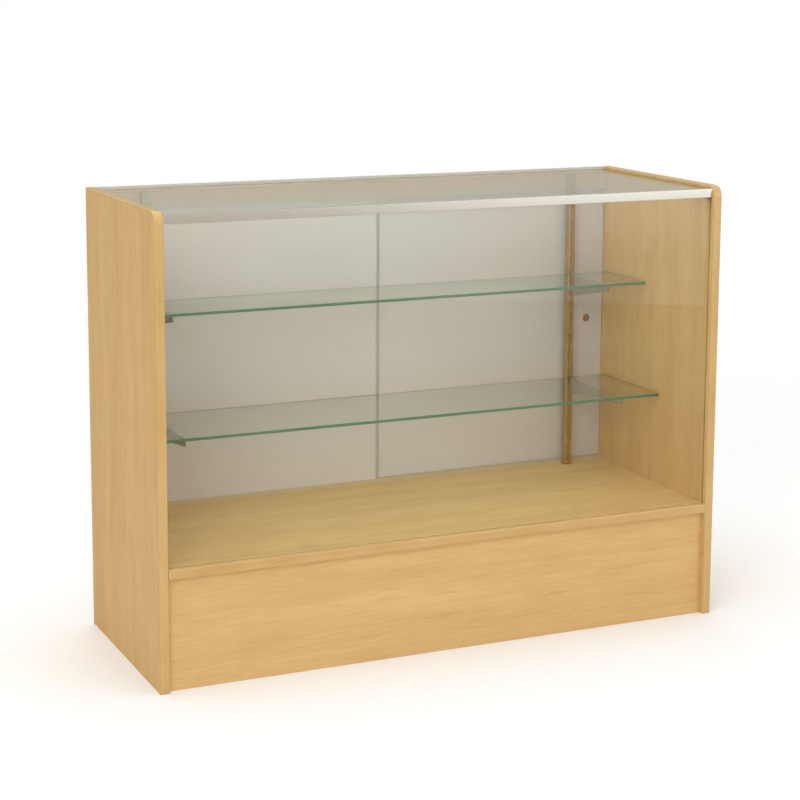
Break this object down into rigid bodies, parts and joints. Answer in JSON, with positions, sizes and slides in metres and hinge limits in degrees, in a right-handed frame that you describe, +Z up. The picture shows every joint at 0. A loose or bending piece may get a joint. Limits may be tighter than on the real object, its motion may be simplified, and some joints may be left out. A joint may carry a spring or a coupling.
{
  "type": "glass display showcase",
  "caption": "Floor-standing display showcase with maple end panels, glass front and top, hung glass shelves, raised deck and sliding rear doors",
  "frame": {"origin": "On the floor, under the middle of the case", "axes": "+X to the customer's right, +Y from the glass front to the sliding doors, +Z up"},
  "size_m": [1.2192, 0.4572, 0.9144],
  "materials": {
    "maple_board": "maple melamine, satin",
    "maple_edge": "maple coloured T-moulding, satin",
    "clear_glass": "clear float glass, polished edges",
    "channel_metal": "bright anodised",
    "standard_steel": "nickel plated, satin",
    "bracket_steel": "nickel plated, satin",
    "track_plastic": "tan extruded track",
    "door_board": "pale grey hardboard, matt",
    "pull_brass": "brass plated cup",
    "nylon": "white nylon",
    "vinyl": "clear grey vinyl",
    "zinc": "zinc plated",
    "beech": "fluted beech dowel"
  },
  "bodies": {
    "case": {"left_end_panel": "maple_board", "right_end_panel": "maple_board", "deck_panel": "maple_board", "front_kick_plate": "maple_board", "rear_kick_plate": "maple_board", "deck_support": "maple_board", "rear_top_rail": "maple_board", "left_edge_moulding": "maple_edge", "right_edge_moulding": "maple_edge", "deck_edge_moulding": "maple_edge", "upper_door_track": "track_plastic", "lower_door_track": "track_plastic", "front_glass": "clear_glass", "top_glass": "clear_glass", "front_glass_seat": "vinyl", "front_glass_gasket": "vinyl", "top_glass_cushion": "vinyl", "top_glass_pads": "vinyl", "top_front_channel": "channel_metal", "channel_clips": "channel_metal", "channel_clip_screws": "zinc", "standard_head_screws": "zinc", "cam_locks": "zinc", "cam_bolts": "zinc", "wooden_dowels": "beech", "left_standard": "standard_steel", "right_standard": "standard_steel", "standard_feet": "standard_steel"},
    "left_sliding_door": {"left_door": "door_board", "left_finger_pull": "pull_brass", "left_door_glides": "nylon"},
    "right_sliding_door": {"right_door": "door_board", "right_finger_pull": "pull_brass", "right_door_glides": "nylon"},
    "upper_hung_shelf": {"upper_shelf": "clear_glass", "upper_left_bracket": "bracket_steel", "upper_right_bracket": "bracket_steel", "upper_bracket_pads": "vinyl"},
    "lower_hung_shelf": {"lower_shelf": "clear_glass", "lower_left_bracket": "bracket_steel", "lower_right_bracket": "bracket_steel", "lower_bracket_pads": "vinyl"}
  },
  "joints": [
    {"name": "left_door_slide", "type": "slide", "parent": "case", "child": "left_sliding_door", "axis": [1, 0, 0], "range_m": [0, 0.5636]},
    {"name": "right_door_slide", "type": "slide", "parent": "case", "child": "right_sliding_door", "axis": [1, 0, 0], "range_m": [-0.5636, 0]},
    {"name": "upper_shelf_height", "type": "slide", "parent": "case", "child": "upper_hung_shelf", "axis": [0, 0, 1], "range_m": [-0.0762, 0.0762]},
    {"name": "lower_shelf_height", "type": "slide", "parent": "case", "child": "lower_hung_shelf", "axis": [0, 0, 1], "range_m": [-0.0762, 0.0762]}
  ]
}
